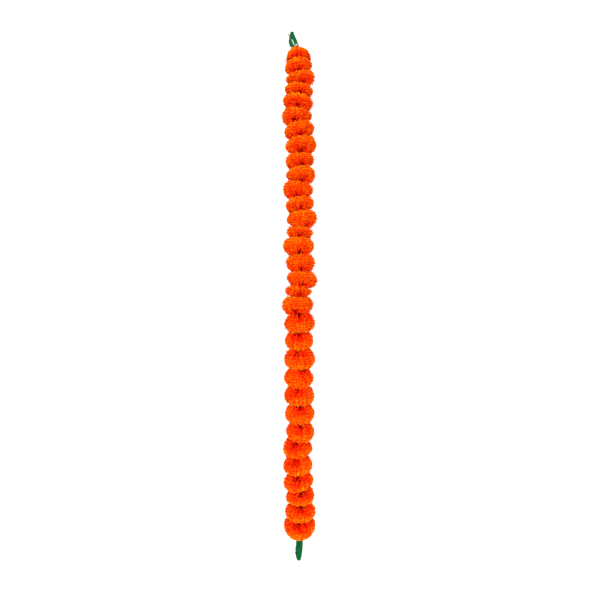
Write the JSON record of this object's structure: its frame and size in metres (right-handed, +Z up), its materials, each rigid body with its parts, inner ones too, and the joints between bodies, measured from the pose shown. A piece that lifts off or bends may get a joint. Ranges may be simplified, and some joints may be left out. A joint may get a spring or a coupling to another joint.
{
  "type": "artificial marigold garland",
  "caption": "Fabric marigold garland: ball-shaped orange ruffled blooms threaded close together on a green twisted cord with a loop at either end.",
  "frame": {"origin": "on the surface that the garland lies on, under the middle of the row of blooms", "axes": "+Y along the cord to the upper loop, +X to the right, +Z up from the surface"},
  "size_m": [0.1002, 1.5136, 0.0824],
  "materials": {
    "petal_cloth": "matte",
    "green_cord": "satin",
    "pale_thread": "satin"
  },
  "bodies": {
    "root": {"bloom_01": "petal_cloth", "bloom_02": "petal_cloth", "bloom_03": "petal_cloth", "bloom_04": "petal_cloth", "bloom_05": "petal_cloth", "bloom_06": "petal_cloth", "bloom_07": "petal_cloth", "bloom_08": "petal_cloth", "bloom_09": "petal_cloth", "bloom_10": "petal_cloth", "bloom_11": "petal_cloth", "bloom_12": "petal_cloth", "bloom_13": "petal_cloth", "bloom_14": "petal_cloth", "bloom_15": "petal_cloth", "bloom_16": "petal_cloth", "bloom_17": "petal_cloth", "bloom_18": "petal_cloth", "bloom_19": "petal_cloth", "bloom_20": "petal_cloth", "bloom_21": "petal_cloth", "bloom_22": "petal_cloth", "bloom_23": "petal_cloth", "bloom_24": "petal_cloth", "bloom_25": "petal_cloth", "bloom_26": "petal_cloth", "bloom_27": "petal_cloth", "bloom_28": "petal_cloth", "bloom_29": "petal_cloth", "bloom_30": "petal_cloth", "bloom_31": "petal_cloth", "bloom_32": "petal_cloth", "backbone_cord": "green_cord", "top_knot": "green_cord", "bottom_knot": "green_cord", "top_loop": "green_cord", "bottom_loop": "green_cord", "thread_binding": "pale_thread", "thread_tail": "pale_thread"}
  },
  "joints": []
}
